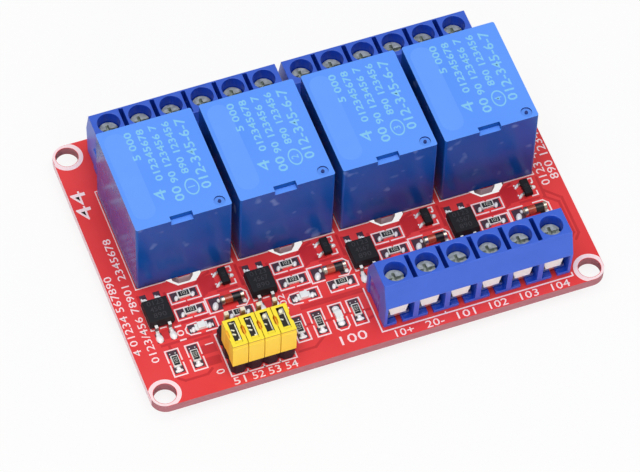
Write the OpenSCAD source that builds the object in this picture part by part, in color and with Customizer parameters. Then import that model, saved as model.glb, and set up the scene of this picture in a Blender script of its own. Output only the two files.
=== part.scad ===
// Four-channel relay module board with screw terminals and a jumper header.
// Origin: centre of the mounting-hole rectangle, on the underside of the board.
// X runs along the row of relays, Y towards the output terminals, Z up.

/* [Board] */
// Room at each end of the relay row, for the mounting holes
end_room = 3.55; // [3.3:0.05:9]
// Room for the drivers, between the input terminals and the relays
driver_band = 11.1; // [10:0.1:20]
// Thickness of the board
board_t = 1.6; // [1:0.1:2.4]
// Radius of the board's corners
corner_r = 2.4; // [0.5:0.1:3]
// Diameter of the mounting holes
hole_d = 3.5; // [2.6:0.1:3.8]
// Distance of each mounting hole from the two edges beside it
hole_inset = 2.25; // [2.1:0.05:3]

/* [Isolation slots] */
// Width of the milled slot
slot_band = 1.33; // [0.8:0.01:1.6]
// Half of the slot's width across, to its outer edge
slot_half = 2.95; // [2.6:0.05:3.4]
// How far the slot reaches out in front of the relay
slot_front = 1.3; // [1:0.05:1.5]
// Size of the slot's cut corners
slot_corner = 1.5; // [1.2:0.05:1.7]
// Length of the slot's legs under the relay
slot_legs = 4; // [3:0.1:5]

/* [Relays] */
// Number of relay channels
channels = 4; // [1:1:4]
// Gap between one relay and the next
relay_side_gap = 1.25; // [0.9:0.05:3]
// Shift of the relay row from the board's centre
relay_row_x = 0.2; // [-0.5:0.1:0.5]
// Width of a relay, along the row
relay_w = 15.1; // [13.6:0.1:17]
// Length of a relay, across the row
relay_l = 18.7; // [16.8:0.1:21]
// Height of a relay above the board
relay_h = 15.5; // [14:0.1:18]
// Wall of the relay's cover
cover_wall = 0.8; // [0.6:0.05:1]
// Radius of the cover's upright edges
cover_r = 0.35; // [0.2:0.05:0.7]
// Gap between a relay and the output terminals behind it
relay_gap = 0.5; // [0.3:0.1:1]
// Share of the winding's width that the iron core takes
core_share = 0.4; // [0.3:0.01:0.45]
// Thickness of the yoke and the armature
iron_t = 1; // [0.8:0.05:1.2]
// Angle that the armature drops through when the coil pulls
armature_swing = 4; // [3:0.1:5]
// Diameter of the contact rivets
contact_d = 2; // [1.4:0.1:2.6]
// Diameter of the relay's pins
relay_pin_d = 0.9; // [0.6:0.05:1]
// Length of the relay's pins below the board
relay_pin_below = 1.7; // [1:0.1:2.5]

/* [Terminals] */
// Number of poles in a terminal block
poles = 6; // [2:1:6]
// Distance from one pole to the next
pole_pitch = 5; // [4.9:0.02:5.08]
// Plastic left beyond the pitch at each end of a block
block_end = 0.05; // [0:0.05:0.3]
// Height of a terminal block
block_h = 9.9; // [9.6:0.1:11]
// Distance of the input screws from the board's edge
input_inset = 5.3; // [5:0.1:6]
// Distance of the output screws from the board's edge
output_inset = 5; // [4.8:0.1:5.2]
// Gap between the two output blocks
output_gap = 1; // [0.4:0.1:1.4]
// Shift of the input block from the board's centre
input_x = 15.8; // [15:0.1:17]
// Width of each wire entry
entry_w = 4.1; // [3.9:0.05:4.3]
// Height of each wire entry above the board
entry_h = 5.3; // [5.1:0.1:5.5]
// Diameter of the well above each screw
well_d = 3.5; // [3.4:0.05:3.8]
// Width of the grooves between the wells
groove_w = 0.65; // [0.4:0.05:0.8]
// Depth of the grooves between the wells
groove_depth = 3; // [1:0.1:3.5]
// Diameter of the screw's head
head_d = 3.1; // [2.8:0.05:3.2]
// Height of the screw's head
head_h = 1.45; // [1.2:0.05:1.5]
// Diameter of the screw's shank
screw_d = 2.4; // [2:0.05:2.5]
// How far a screw backs out to open its wire entry
clamp_travel = 2; // [1.5:0.1:2]
// Thickness of the wire guard's sheet
guard_t = 0.3; // [0.2:0.05:0.35]
// Width of the wire guard at its top
guard_w = 3.1; // [2.6:0.05:3.3]
// Width of the wire guard at its foot
guard_foot_w = 2.35; // [1.8:0.05:2.6]
// Thickness of the contact frame's sheet
frame_t = 0.6; // [0.5:0.05:0.65]
// Diameter of the terminal's solder pin
terminal_pin_d = 1; // [0.8:0.05:1.2]
// Length of the terminal's solder pin below the board
terminal_pin_below = 1.9; // [1.5:0.1:3]

/* [Jumper header] */
// Number of jumper positions
jumpers = 4; // [1:1:4]
// Distance from one header pin to the next
pin_pitch = 2.54; // [2.5:0.01:2.54]
// Side of the square header pins
pin_side = 0.64; // [0.5:0.02:0.64]
// Height of the header's plastic base
base_h = 2.2; // [2:0.1:2.6]
// Height of the header pins above the board
pin_top = 7; // [6.4:0.1:7.2]
// Length of the header pins below the board
header_pin_below = 1.4; // [1:0.1:1.9]
// Place of the header along the board
header_x = -18.4; // [-19:0.1:-18]
// Distance of the header's middle row from the board's input edge
header_inset = 5.8; // [5.6:0.1:6.2]
// Width of a jumper cap
cap_w = 2.44; // [2.3:0.01:2.46]
// Length of a jumper cap, across the two pins it joins
cap_l = 5.1; // [5:0.05:5.3]
// Height of a jumper cap
cap_h = 5.2; // [5:0.1:6]
// Width of the slot through a jumper cap
cap_slot_w = 1.12; // [1.1:0.02:1.2]
// Length of the slot through a jumper cap
cap_slot_l = 3.9; // [3.8:0.05:4.1]
// Thickness of the contact clip's sheet
clip_t = 0.18; // [0.14:0.01:0.18]

/* [Surface-mounted parts] */
// Length of a chip resistor or lamp
chip_l = 2; // [1.6:0.1:2.4]
// Width of a chip resistor or lamp
chip_w = 1.15; // [0.8:0.05:1.4]
// Height of a chip resistor
chip_h = 0.45; // [0.3:0.05:0.8]
// Height of a lamp
lamp_h = 0.7; // [0.6:0.05:1.2]
// Width of an optocoupler's body
opto_w = 4.1; // [3.8:0.1:4.4]
// Length of an optocoupler's body
opto_l = 4.2; // [3.9:0.1:4.8]
// Height of an optocoupler's body
opto_h = 1.8; // [1.6:0.1:2.4]
// Width of a transistor's body
transistor_w = 1.3; // [1.2:0.05:1.5]
// Length of a transistor's body
transistor_l = 2.9; // [2.6:0.1:3.1]
// Height of a transistor's body
transistor_h = 0.9; // [0.8:0.05:1.2]
// Diameter of a diode's glass body
diode_d = 1.4; // [1.2:0.05:1.5]
// Length of a diode, with its end caps
diode_l = 3.5; // [3.3:0.1:3.7]

/* [Hidden] */
$fn = 48;
through = 1;                 // cutters reach this far past what they cut
fit = 0.05;                  // running clearance beside a moving or fitted piece
top = board_t;               // everything stands on this level

// terminal block section, seen from its end; Y grows towards the back
foot_front = 2.9;
lip_front = 3.35;
lip_z = 5.5;
top_front = 2.2;
top_back = 2.5;
shoulder_back = 4.4;
shoulder_z = 6.1;
foot_back = 4.7;
block_l = poles*pole_pitch + 2*block_end;
output_x = (block_l + output_gap)/2;
chamber_back = 3;            // back wall of a wire entry, behind the screw's axis
pad_h = 0.7;                 // feet left and right in the floor of a wire entry
pad_gap = 0.9;
pad_back = 0.6;
end_key = 0.2;               // key and keyway on the block's ends
key_w = 2.2;
key_y = 1.6;
key_h = shoulder_z - 1;

// the board is as long as the relay row, and as wide as the rows that stand on it
relay_pitch = relay_w + relay_side_gap;
board_l = channels*relay_pitch + 2*end_room;
board_w = input_inset + foot_back + driver_band + relay_l + relay_gap + foot_back + output_inset;
hole_x = board_l/2 - hole_inset;
hole_y = board_w/2 - hole_inset;
input_y = input_inset - board_w/2;
output_y = board_w/2 - output_inset;
relay_y = output_y - foot_back - relay_gap - relay_l/2;
relay_front = relay_y - relay_l/2;

// plated holes and solder cones
hole_fit = 0.3;              // a round hole is this much wider than its pin
post_fit = 0.2;              // and a hole for a square post, than the post's diagonal
solder_h = 0.9;
solder_lip = 0.3;
relay_pad_d = 2.2;
terminal_pad_d = 2.3;
header_pad_d = 1.8;

// screw, wire guard and contact frame, heights above the board
head_z = block_h - clamp_travel - head_h;
ledge_z = head_z - 0.15;
frame_floor = 0.9;
frame_w = 3.6;
frame_top = entry_h - 0.1;
frame_nose = 1.7;
frame_lip = 2;
frame_back = chamber_back - 0.2;
guard_z = frame_floor + frame_t + fit;
guard_y = frame_nose + 0.1 + guard_t;
guard_h = 2.5;
guard_taper = 1.6;
guard_foot_back = 1.3;
guard_fit = 0.15;
screw_z = guard_z + guard_t + fit;
pocket_top = guard_z + guard_h + clamp_travel + 0.1;
slot_depth = 0.55;
drive_depth = 0.9;
drive_w = 0.5;
drive_l = 2.1;

// relay, from the middle of its footprint on the board
cover_z = 0.3;
base_z = 0.5;
base_t = 1.2;
foot_d = 1.2;
foot_inset = 1.8;
notch_w = 3.5;
notch_y = 0.9;
notch_z = 1;
notch_x = -0.3;
vent_d = 1.75;
vent_pip = 0.5;
vent_depth = 0.3;
vent_side = 1.6;
vent_front = 1.2;
common_inset = 2.45;         // pins, from the relay's front, back and sides
coil_pin_inset = 4.45;
contact_inset = 2.05;
side_inset = 1.55;
common_y = common_inset - relay_l/2;
coil_pin_y = coil_pin_inset - relay_l/2;
contact_pin_y = relay_l/2 - contact_inset;
pin_x = relay_w/2 - side_inset;

// coil, between the yoke's front leg and the contacts
yoke_w = 8;
yoke_gap = 0.2;
yoke_lead = 0.5;             // the yoke's front face, ahead of the common pin
yoke_foot = 1;
yoke_front = common_y - yoke_lead;
yoke_z = base_z + base_t + yoke_gap;
pivot_y = yoke_front + iron_t;
flange_gap = 0.3;
flange_w = relay_l/2 + fit;
flange_t = 0.7;
flange_z = yoke_z + iron_t;
coil_y = pivot_y + flange_gap + flange_w/2;
lug_lap = 0.8;
lug_rim = 0.15;
lug_in = flange_w/2 - lug_lap;
lug_out = pin_x + relay_pin_d/2 + lug_rim;
lug_w = 1.6;
winding_rim = 0.3;
winding_d = flange_w - 2*winding_rim;
winding_z = flange_z + flange_t;
core_d = core_share*winding_d;
tube_wall = 0.5;
pole_t = 0.6;
pole_rim = 1.1;

// armature and contacts; the winding takes the height that they leave
blade_t = 0.25;
blade_w = 4;
blade_lap = 0.8;
rivet_inset = 1.1;
rivet_y = contact_pin_y - rivet_inset;
rivet_h = 0.35;
blade_end = rivet_y + blade_lap;
rest_gap = 0.1;              // a released contact's gap to the open one
press_gap = 0.15;            // and a pulled contact's, to the closed one
post_w = 1.2;
post_t = 0.6;
post_z = base_z + base_t + rest_gap;
arm_w = 2.4;
roof_gap = 0.22;
swing_drop = (rivet_y - pivot_y)*tan(armature_swing);
contact_stack = iron_t + blade_t + 2*rivet_h + rest_gap + post_t + roof_gap;
armature_z = relay_h - cover_wall - contact_stack - swing_drop;
pole_z = armature_z - fit - pole_t;
winding_h = pole_z - flange_t - winding_z;
armature_inset = 0.5;
armature_l = coil_y + flange_w/2 - armature_inset - pivot_y;

// header
cap_z = base_h + fit;
header_y = header_inset - board_w/2;
rows = 3;
socket_fit = 0.04;
cap_rim = 0.8;               // height of the stepped rim round a cap's top
cap_step = 0.12;
waist = 0.25;                // notch in a cap's sides, between its two lobes
waist_in = 0.5;
waist_out = 0.9;
clip_z = 0.6;
clip_drop = 0.9;
web_y = 0.4;

// surface-mounted rows, as shares of the relay pitch and of the driver band
opto_at = [-0.374*relay_pitch, -0.495*driver_band];
resistor_at = [[-0.073*relay_pitch, -0.279*driver_band],
               [-0.073*relay_pitch, -0.559*driver_band],
               [0.343*relay_pitch, -0.802*driver_band]];
diode_at = [0.327*relay_pitch, -0.583*driver_band];
transistor_at = [0.338*relay_pitch, -0.203*driver_band];
lamp_at = [-0.037*relay_pitch, -0.847*driver_band];

// and the row between the header and the input terminals, from the board's edge
series_at = [[-30.6, 7], [-27.5, 7], [-11.2, 6.5], [-8, 6.5], [-2, 6.7]];
power_at = [-4.9, 6.6];

lead_t = 0.2;
opto_lift = 0.15;
opto_draft = 0.13;
opto_reach = 1.3;
opto_lead_x = 1.05;
opto_lead_w = 0.5;
transistor_lift = 0.1;
transistor_draft = 0.08;
transistor_reach = 0.6;
transistor_lead_y = 0.95;
transistor_lead_w = 0.4;
cap_ring = 0.45;             // length of a diode's end cap
cap_proud = 0.03;            // an end cap is this much thicker than the glass, all round

function relay_x(i) = relay_row_x + (i - (channels + 1)/2)*relay_pitch;
function pole_x(i) = (i - (poles + 1)/2)*pole_pitch;
function header_pin_x(i) = header_x + (i - (jumpers + 1)/2)*pin_pitch;
function header_pin_y(j) = header_y + (j - 2)*pin_pitch;
function block_of(i) = floor((i - 1)/poles);

clamps = 3*poles;

// ---- placing ----

module at_relays() {
    for (i = [1:channels]) translate([relay_x(i), relay_y, top]) children();
}

module in_front_of_relays() {
    for (i = [1:channels]) translate([relay_x(i), relay_front, top]) children();
}

// block 0 is the input, 1 and 2 are the outputs, turned to face the other edge
module at_block(b) {
    if (b == 0) translate([input_x, input_y, top]) children();
    if (b == 1) translate([-output_x, output_y, top]) rotate([0, 0, 180]) children();
    if (b == 2) translate([output_x, output_y, top]) rotate([0, 0, 180]) children();
}

module at_poles() {
    for (i = [1:poles]) translate([pole_x(i), 0, 0]) children();
}

module at_relay_pins() {
    at_relays() {
        translate([0, common_y, 0]) children();
        for (s = [-1, 1]) translate([s*pin_x, coil_pin_y, 0]) children();
        for (s = [-1, 1]) translate([s*pin_x, contact_pin_y, 0]) children();
    }
}

module at_terminal_pins() {
    for (b = [0:2]) at_block(b) at_poles() children();
}

module at_header_pins() {
    for (i = [1:jumpers]) for (j = [1:rows])
        translate([header_pin_x(i), header_pin_y(j), top]) children();
}

// a section drawn in Y and Z, extruded along X
module along_x(length) {
    rotate([90, 0, 90]) linear_extrude(length, center = true) children();
}

// an outline drawn in X and Z, extruded along Y from y to the back
module along_y(length) {
    rotate([90, 0, 0]) translate([0, 0, -length]) linear_extrude(length) children();
}

module box(w, l, h) {
    translate([-w/2, -l/2, 0]) cube([w, l, h]);
}

// a sheet that stands at one corner, in Y and Z
module strip(y0, y1, z0, z1) {
    translate([y0, z0]) square([y1 - y0, z1 - z0]);
}

// ---- board ----

module rounded_outline(l, w, r) {
    square([l - 2*r, w], center = true);
    square([l, w - 2*r], center = true);
    for (sx = [-1, 1]) for (sy = [-1, 1])
        translate([sx*(l/2 - r), sy*(w/2 - r)]) circle(r);
}

// the slot's edge, inset by d from its outer edge
module slot_edge(d) {
    w = slot_half - d;
    f = d - slot_front;
    c = slot_corner - d*(2 - sqrt(2));
    polygon([[-w, slot_legs], [-w, f + c], [c - w, f], [w - c, f], [w, f + c], [w, slot_legs]]);
}

module isolation_slot() {
    difference() {
        slot_edge(0);
        slot_edge(slot_band);
    }
    for (s = [-1, 1]) translate([s*(slot_half - slot_band/2), slot_legs]) circle(slot_band/2);
}

module circuit_board() {
    color("crimson") difference() {
        linear_extrude(board_t) difference() {
            rounded_outline(board_l, board_w, corner_r);
            for (sx = [-1, 1]) for (sy = [-1, 1])
                translate([sx*hole_x, sy*hole_y]) circle(hole_d/2);
            for (i = [1:channels]) translate([relay_x(i), relay_front]) isolation_slot();
        }
        at_relay_pins() drill(relay_pin_d + hole_fit);
        at_terminal_pins() drill(terminal_pin_d + hole_fit);
        at_header_pins() drill(pin_side*sqrt(2) + post_fit);
    }
}

module drill(d) {
    translate([0, 0, -board_t - through]) cylinder(board_t + 2*through, d/2, d/2);
}

// a cone of solder under the board, around a pin
module solder_cone(pad_d, pin_d) {
    translate([0, 0, -board_t - solder_h]) cylinder(solder_h, (pin_d + solder_lip)/2, pad_d/2);
}

module pin_space(d) {
    translate([0, 0, -board_t - solder_h - through])
        cylinder(solder_h + 2*through, d/2, d/2);
}

module post_space(side) {
    translate([0, 0, -board_t - solder_h - through]) box(side, side, solder_h + 2*through);
}

module solder_joints() {
    color("silver") {
        difference() {
            at_relay_pins() solder_cone(relay_pad_d, relay_pin_d);
            at_relay_pins() pin_space(relay_pin_d);
        }
        difference() {
            at_terminal_pins() solder_cone(terminal_pad_d, terminal_pin_d);
            at_terminal_pins() pin_space(terminal_pin_d);
        }
        difference() {
            at_header_pins() solder_cone(header_pad_d, pin_side*sqrt(2));
            at_header_pins() post_space(pin_side);
        }
    }
}

// ---- screw terminals ----

module block_section() {
    polygon([[-foot_front, 0], [-lip_front, lip_z], [-top_front, block_h], [top_back, block_h],
             [shoulder_back, shoulder_z], [foot_back, 0]]);
}

// the wire chamber, less the two feet left standing on the board
module wire_chamber() {
    front = lip_front + through;
    difference() {
        translate([-entry_w/2, -front, -through])
            cube([entry_w, front + chamber_back, entry_h + through]);
        for (s = [-1, 1]) translate([s*(pad_gap + entry_w)/2, -(front + pad_back)/2, -2*through])
            box(entry_w, front - pad_back, pad_h + 2*through);
    }
}

module screw_well() {
    translate([0, 0, ledge_z]) cylinder(block_h, well_d/2, well_d/2);
    translate([0, 0, entry_h - through]) cylinder(block_h, screw_d/2 + 0.2, screw_d/2 + 0.2);
}

// room for the guard when the screw is backed out
module guard_pocket() {
    translate([-guard_w/2 - guard_fit, -guard_y - guard_fit, entry_h - through])
        cube([guard_w + 2*guard_fit, guard_t + 2*guard_fit, pocket_top - entry_h + through]);
}

module groove() {
    translate([-groove_w/2, 0.25 - top_front, block_h - groove_depth])
        cube([groove_w, top_front + top_back - 0.55, groove_depth + through]);
}

module end_rib(clearance) {
    translate([0, key_y, 0]) box(2*end_key, key_w + 2*clearance, key_h + clearance);
}

module terminal_housing(b) {
    color("royalblue") at_block(b) difference() {
        union() {
            along_x(block_l) block_section();
            translate([block_l/2, 0, 0]) end_rib(0);
        }
        translate([-block_l/2, 0, -through]) end_rib(0.1 + through);
        at_poles() {
            wire_chamber();
            screw_well();
            guard_pocket();
        }
        for (i = [1:poles - 1]) translate([pole_x(i) + pole_pitch/2, 0, 0]) groove();
    }
}

module input_terminal_housing() { terminal_housing(0); }
module output_terminal_housing_left() { terminal_housing(1); }
module output_terminal_housing_right() { terminal_housing(2); }

// one folded sheet: floor, back and threaded top, with the solder pin under it
module contact_frame() {
    difference() {
        along_x(frame_w) {
            strip(-frame_lip, frame_back, frame_floor, frame_floor + frame_t);
            strip(frame_back - frame_t, frame_back, frame_floor, frame_top);
            strip(-frame_nose, frame_back, frame_top - frame_t, frame_top);
        }
        translate([0, 0, frame_top - frame_t - through])
            cylinder(frame_t + 2*through, screw_d/2 + fit, screw_d/2 + fit);
    }
    translate([0, 0, -board_t - terminal_pin_below])
        cylinder(board_t + terminal_pin_below + frame_floor + frame_t/2,
                 terminal_pin_d/2, terminal_pin_d/2);
}

module terminal_contacts() {
    color("lightgray") at_terminal_pins() contact_frame();
}

// the folded guard: a tongue that narrows downwards, and a foot under the screw
module wire_guard() {
    intersection() {
        along_x(guard_w) {
            strip(-guard_y, guard_t - guard_y, guard_z, guard_z + guard_h);
            strip(-guard_y, guard_foot_back, guard_z, guard_z + guard_t);
        }
        translate([0, -guard_y - through, 0]) along_y(guard_y + guard_foot_back + 2*through)
            polygon([[-guard_foot_w/2, guard_z - through], [-guard_foot_w/2, guard_z],
                     [-guard_w/2, guard_z + guard_taper], [-guard_w/2, guard_z + guard_h + through],
                     [guard_w/2, guard_z + guard_h + through], [guard_w/2, guard_z + guard_taper],
                     [guard_foot_w/2, guard_z], [guard_foot_w/2, guard_z - through]]);
    }
}

module clamp_screw() {
    difference() {
        union() {
            translate([0, 0, screw_z]) cylinder(head_z - screw_z + 0.1, screw_d/2, screw_d/2);
            translate([0, 0, head_z]) cylinder(head_h, head_d/2, head_d/2);
        }
        translate([0, 0, head_z + head_h - slot_depth]) box(head_d + through, drive_w, through);
        translate([0, 0, head_z + head_h - drive_depth]) box(drive_w, drive_l, through);
        translate([0, 0, head_z + head_h - drive_depth]) box(drive_l, drive_w, through);
    }
}

module terminal_clamp(i) {
    color("gainsboro") at_block(block_of(i)) translate([pole_x(i - poles*block_of(i)), 0, 0]) {
        clamp_screw();
        wire_guard();
    }
}

// ---- jumper header ----

module header_base() {
    w = jumpers*pin_pitch;
    l = rows*pin_pitch;
    notch = 0.9;
    color("#202020") difference() {
        translate([header_x, header_y, top]) box(w, l, base_h);
        for (i = [0:jumpers]) for (s = [-1, 1])
            translate([header_x - w/2 + i*pin_pitch, header_y + s*l/2, top - through])
                rotate([0, 0, 45]) box(notch, notch, base_h + 2*through);
        for (j = [0:rows]) for (s = [-1, 1])
            translate([header_x + s*w/2, header_y - l/2 + j*pin_pitch, top - through])
                rotate([0, 0, 45]) box(notch, notch, base_h + 2*through);
        at_header_pins() translate([0, 0, -through])
            box(pin_side + socket_fit, pin_side + socket_fit, base_h + 2*through);
    }
}

module header_pins() {
    color("gold") at_header_pins() translate([0, 0, -board_t - header_pin_below])
        box(pin_side, pin_side, board_t + header_pin_below + pin_top);
}

// jumper i joins the front two pins of its column
module at_jumper(i) {
    translate([header_pin_x(i), header_pin_y(1) + pin_pitch/2, top + cap_z]) children();
}

module jumper_cap(i) {
    color("gold") at_jumper(i) difference() {
        union() {
            box(cap_w, cap_l, cap_h - cap_rim);
            box(cap_w, cap_l - 2*cap_step, cap_h);
        }
        translate([0, 0, -through]) box(cap_slot_w, cap_slot_l, cap_h + 2*through);
        for (s = [-1, 1]) translate([s*cap_w/2, 0, -through])
            linear_extrude(cap_h + 2*through)
                polygon([[0, -waist_out], [-s*waist, -waist_in], [-s*waist, waist_in],
                         [0, waist_out], [s*through, waist_out], [s*through, -waist_out]]);
    }
}

// the folded contact inside a cap: a wall on each side of the pins, and two webs
module jumper_clip(i) {
    half = pin_side/2 + 0.03;
    long = cap_slot_l/2 - 0.05;
    end = pin_pitch/2 + pin_side/2 + 0.06;
    color("lightgray") at_jumper(i) {
        translate([half + clip_t/2, 0, clip_z]) box(clip_t, 2*long, cap_h - clip_drop);
        translate([-half - clip_t/2, 0, clip_z])
            box(clip_t, 2*(long - clip_t), cap_h - 2.5*clip_drop);
        for (s = [-1, 1]) {
            translate([0, s*web_y, clip_z]) box(2*half + clip_t, clip_t, cap_h - 1.8*clip_drop);
            translate([half/2, s*(end + clip_t/2), clip_z])
                box(half + clip_t, clip_t, cap_h - clip_drop);
        }
    }
}

// ---- relays ----

module relay_cover(i) {
    inner = cover_wall;
    color("steelblue") translate([relay_x(i), relay_y, top]) difference() {
        translate([0, 0, cover_z]) linear_extrude(relay_h - cover_z)
            rounded_outline(relay_w, relay_l, cover_r);
        difference() {
            translate([0, 0, cover_z - through])
                box(relay_w - 2*inner, relay_l - 2*inner, relay_h - cover_z - inner + through);
            translate([notch_x, -relay_l/2, relay_h - notch_z - inner])
                box(notch_w + 2*inner, 2*(notch_y + inner), notch_z + 2*inner);
        }
        translate([notch_x, -relay_l/2, relay_h - notch_z]) box(notch_w, 2*notch_y, 2*notch_z);
        translate([relay_w/2 - vent_side, vent_front - relay_l/2, relay_h - vent_depth])
            difference() {
                cylinder(through, vent_d/2, vent_d/2);
                translate([0, 0, -through]) cylinder(2*through + vent_depth,
                                                     vent_pip/2, vent_pip/2);
            }
    }
}

module relay_base() {
    difference() {
        union() {
            translate([0, 0, base_z])
                box(relay_w - 2*cover_wall, relay_l - 2*cover_wall, base_t);
            for (sx = [-1, 1]) for (sy = [-1, 1])
                translate([sx*(relay_w/2 - foot_inset), sy*(relay_l/2 - foot_inset), 0])
                    cylinder(base_z + base_t/2, foot_d/2, foot_d/2);
        }
        translate([0, common_y, 0]) pin_hole();
        for (s = [-1, 1]) translate([s*pin_x, coil_pin_y, 0]) pin_hole();
        for (s = [-1, 1]) translate([s*pin_x, contact_pin_y, 0]) pin_hole();
    }
}

module pin_hole() {
    translate([0, 0, -through]) cylinder(base_z + base_t + 2*through,
                                         relay_pin_d/2 + fit, relay_pin_d/2 + fit);
}

// the bobbin: two flanges on a tube, and lugs that hold the coil pins
module bobbin() {
    translate([0, coil_y, 0]) difference() {
        union() {
            translate([0, 0, flange_z]) box(flange_w, flange_w, flange_t);
            translate([0, 0, pole_z - flange_t]) box(flange_w, flange_w, flange_t);
            translate([0, 0, flange_z]) cylinder(pole_z - flange_z, core_d/2 + tube_wall,
                                                 core_d/2 + tube_wall);
            for (s = [-1, 1]) translate([s*(lug_out + lug_in)/2, coil_pin_y - coil_y, flange_z])
                box(lug_out - lug_in, lug_w, flange_t);
        }
        translate([0, 0, flange_z - through]) cylinder(pole_z, core_d/2, core_d/2);
        for (s = [-1, 1]) translate([s*pin_x, coil_pin_y - coil_y, flange_z - through])
            cylinder(flange_t + 2*through, relay_pin_d/2, relay_pin_d/2);
    }
}

module winding() {
    translate([0, coil_y, winding_z]) difference() {
        cylinder(winding_h, winding_d/2, winding_d/2);
        translate([0, 0, -through]) cylinder(winding_h + 2*through, core_d/2 + tube_wall,
                                             core_d/2 + tube_wall);
    }
}

module core() {
    translate([0, coil_y, flange_z]) cylinder(pole_z - flange_z, core_d/2, core_d/2);
    translate([0, coil_y, pole_z]) cylinder(pole_t, core_d/2 + pole_rim, core_d/2 + pole_rim);
}

// the yoke: one leg under the coil, one up its front
module yoke() {
    along_x(yoke_w) {
        strip(yoke_front, coil_y + core_d/2 + yoke_foot, yoke_z, yoke_z + iron_t);
        strip(yoke_front, yoke_front + iron_t, yoke_z, pole_z + pole_t);
    }
}

// armature, contact blade and rivet, drawn closed and lifted to the released place
module armature(i) {
    translate([relay_x(i), relay_y + pivot_y, top + armature_z])
        rotate([armature_swing, 0, 0]) translate([0, -pivot_y, 0]) {
            along_x(yoke_w) strip(pivot_y, pivot_y + armature_l, fit, iron_t);
            along_x(blade_w) strip(yoke_front, blade_end, iron_t, iron_t + blade_t);
            translate([0, rivet_y, iron_t - rivet_h])
                cylinder(2*rivet_h + blade_t, contact_d/2, contact_d/2);
        }
}

// a fixed contact: pin, post, arm to the middle and its rivet
module fixed_contact(side, z, rivet_side) {
    translate([side*pin_x, contact_pin_y, -board_t - relay_pin_below])
        cylinder(board_t + relay_pin_below + post_z + post_t/2, relay_pin_d/2, relay_pin_d/2);
    translate([side*pin_x, contact_pin_y, post_z]) box(post_w, post_t, z - post_z + post_t);
    translate([side*(pin_x + post_w/2)/2, (contact_pin_y + rivet_y)/2, z])
        box(pin_x + post_w/2, contact_pin_y - rivet_y + post_t, post_t);
    translate([0, rivet_y, z]) box(arm_w, arm_w, post_t);
    translate([0, rivet_y, z + (rivet_side > 0 ? 0 : -rivet_h)])
        cylinder(post_t + rivet_h, contact_d/2, contact_d/2);
}

module common_pin() {
    translate([0, common_y, -board_t - relay_pin_below])
        cylinder(board_t + relay_pin_below + yoke_z, relay_pin_d/2, relay_pin_d/2);
}

module coil_pins() {
    for (s = [-1, 1]) translate([s*pin_x, coil_pin_y, -board_t - relay_pin_below])
        cylinder(board_t + relay_pin_below + winding_z + flange_t, relay_pin_d/2, relay_pin_d/2);
}

module relay_bases() { color("midnightblue") at_relays() relay_base(); }
module relay_bobbins() { color("ivory") at_relays() bobbin(); }
module relay_windings() { color("chocolate") at_relays() winding(); }
module relay_cores() { color("gray") at_relays() core(); }
module relay_yokes() { color("silver") at_relays() yoke(); }
module relay_coil_pins() { color("silver") at_relays() coil_pins(); }
module relay_armature(i) { color("silver") armature(i); }

module relay_contacts() {
    rest_z = armature_z + swing_drop;
    open_z = rest_z + iron_t + blade_t + rivet_h + rest_gap;
    closed_z = armature_z + iron_t - rivet_h - press_gap;
    color("peru") at_relays() {
        fixed_contact(1, open_z + rivet_h, -1);
        fixed_contact(-1, closed_z - rivet_h - post_t, 1);
        common_pin();
    }
}

// ---- surface-mounted parts ----

// a moulded body with sides that slope to a waist
module moulded_body(w, l, h, draft) {
    waist = h*0.45;
    intersection() {
        along_x(w) polygon([[draft - l/2, 0], [-l/2, waist], [draft - l/2, h],
                            [l/2 - draft, h], [l/2, waist], [l/2 - draft, 0]]);
        translate([0, -l/2, 0]) along_y(l)
            polygon([[draft - w/2, 0], [-w/2, waist], [draft - w/2, h],
                     [w/2 - draft, h], [w/2, waist], [w/2 - draft, 0]]);
    }
}

// a bent lead from y0 outwards to y1, with its foot on the board
module gull_lead(y0, y1, z, w) {
    knee = y0 + 0.45*(y1 - y0);
    along_x(w) {
        strip(y0, knee, z - lead_t, z);
        strip(knee - lead_t, knee, 0, z);
        strip(knee - lead_t, y1, 0, lead_t);
    }
}

module at_optocouplers() {
    in_front_of_relays() translate([opto_at[0], opto_at[1], 0]) children();
}

module optocouplers() {
    color("#262626") at_optocouplers() translate([0, 0, opto_lift])
        moulded_body(opto_w, opto_l, opto_h, opto_draft);
}

module optocoupler_leads() {
    color("silver") at_optocouplers() for (turn = [0, 180]) rotate([0, 0, turn])
        for (s = [-1, 1]) translate([s*opto_lead_x, 0, 0])
            gull_lead(opto_l/2, opto_l/2 + opto_reach,
                      opto_lift + opto_h*0.45 + lead_t/2, opto_lead_w);
}

module at_transistors() {
    in_front_of_relays() translate([transistor_at[0], transistor_at[1], 0]) children();
}

module transistors() {
    color("#262626") at_transistors() translate([0, 0, transistor_lift])
        moulded_body(transistor_w, transistor_l, transistor_h, transistor_draft);
}

module transistor_leads() {
    from = transistor_w/2;
    to = from + transistor_reach;
    z = transistor_lift + transistor_h*0.45 + lead_t/2;
    color("silver") at_transistors() {
        rotate([0, 0, -90]) gull_lead(from, to, z, transistor_lead_w);
        for (s = [-1, 1]) translate([0, s*transistor_lead_y, 0]) rotate([0, 0, 90])
            gull_lead(from, to, z, transistor_lead_w);
    }
}

module at_diodes() {
    in_front_of_relays() translate([diode_at[0], diode_at[1], diode_d/2]) children();
}

module diode_bodies() {
    glass_l = diode_l - 2*cap_ring;
    color("orangered") at_diodes() rotate([0, 90, 0])
        translate([0, 0, -glass_l/2])
            cylinder(glass_l, diode_d/2 - cap_proud, diode_d/2 - cap_proud);
}

module diode_caps() {
    color("silver") at_diodes() for (s = [-1, 1]) rotate([0, s*90, 0])
        translate([0, 0, diode_l/2 - cap_ring]) cylinder(cap_ring, diode_d/2, diode_d/2);
}

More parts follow.
